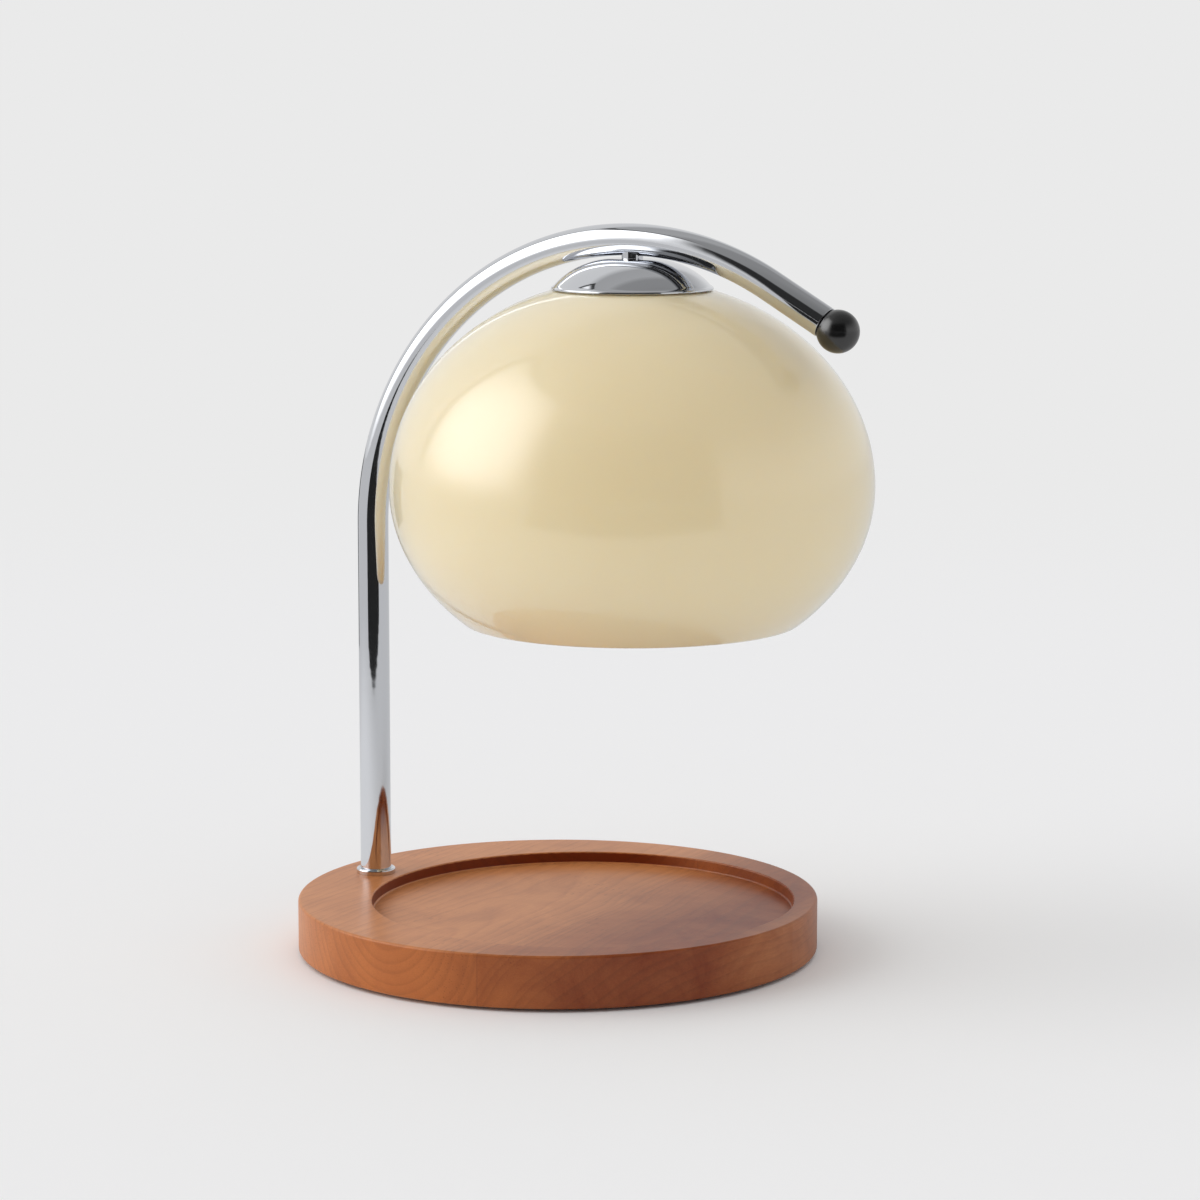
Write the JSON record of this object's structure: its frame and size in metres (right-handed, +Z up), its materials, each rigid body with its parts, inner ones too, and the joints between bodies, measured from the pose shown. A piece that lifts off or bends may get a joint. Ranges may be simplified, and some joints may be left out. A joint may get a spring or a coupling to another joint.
{
  "type": "candle warmer lamp",
  "caption": "Table lamp that melts a candle from above: round wooden board with a recess, bent chrome tube, squashed cream glass shade, black ball end.",
  "frame": {"origin": "centre of the wooden board on the table plane, at the underside of the pad", "axes": "+Z up, away from the table; +X from the upright along the arm towards the ball; the arm lies in the XZ plane"},
  "size_m": [0.2244, 0.2, 0.28],
  "materials": {
    "stained_wood": "turned hardwood board, stained, clear lacquer",
    "foam_pad": "closed-cell foam sheet, matt",
    "black_steel": "powder coated, matt",
    "zinc_steel": "bright zinc plated",
    "black_rubber": "moulded, matt",
    "white_nylon": "moulded nylon",
    "chrome_plate": "polished chrome plate",
    "brass": "turned",
    "black_phenolic": "moulded phenolic, polished",
    "cream_glass": "cased opal glass, cream, gloss, opaque",
    "clear_silicone": "translucent silicone",
    "white_ceramic": "steatite, unglazed",
    "reflector_glass": "pressed glass with reflector coat",
    "lens_glass": "clear glass",
    "silicone_lead": "silicone sleeve"
  },
  "bodies": {
    "lamp": {"wooden_base": "stained_wood", "base_pad": "foam_pad", "base_cover": "black_steel", "cover_screws": "zinc_steel", "inlet_grommet": "black_rubber", "terminal_block": "white_nylon", "terminal_screws": "zinc_steel", "block_screw": "zinc_steel", "stem_tube": "chrome_plate", "tube_collar": "chrome_plate", "foot_bush": "brass", "base_nipple": "zinc_steel", "base_washer": "zinc_steel", "base_lock_washer": "zinc_steel", "base_nut": "zinc_steel", "ball_finial": "black_phenolic", "end_plug": "chrome_plate", "ball_stud": "zinc_steel", "glass_shade": "cream_glass", "canopy": "chrome_plate", "upper_gasket": "clear_silicone", "lower_gasket": "clear_silicone", "clamp_plate": "zinc_steel", "shade_lock_washer": "zinc_steel", "clamp_nut": "zinc_steel", "bracket_nut": "zinc_steel", "shade_nipple": "chrome_plate", "holder_bracket": "zinc_steel", "holder_body": "white_ceramic", "holder_cap": "white_ceramic", "holder_screws": "zinc_steel", "holder_contacts": "brass", "lamp_lead": "silicone_lead", "block_cores": "silicone_lead", "holder_cores": "silicone_lead"},
    "bulb": {"bulb_base": "white_ceramic", "bulb_pins": "zinc_steel", "bulb_reflector": "reflector_glass", "bulb_lens": "lens_glass", "bulb_capsule": "lens_glass"}
  },
  "joints": [
    {"name": "bulb_twist", "type": "hinge", "parent": "lamp", "child": "bulb", "pos_m": [0.032, 0, 0.2162], "axis": [0, 0, 1], "range_deg": [0, 40]}
  ]
}
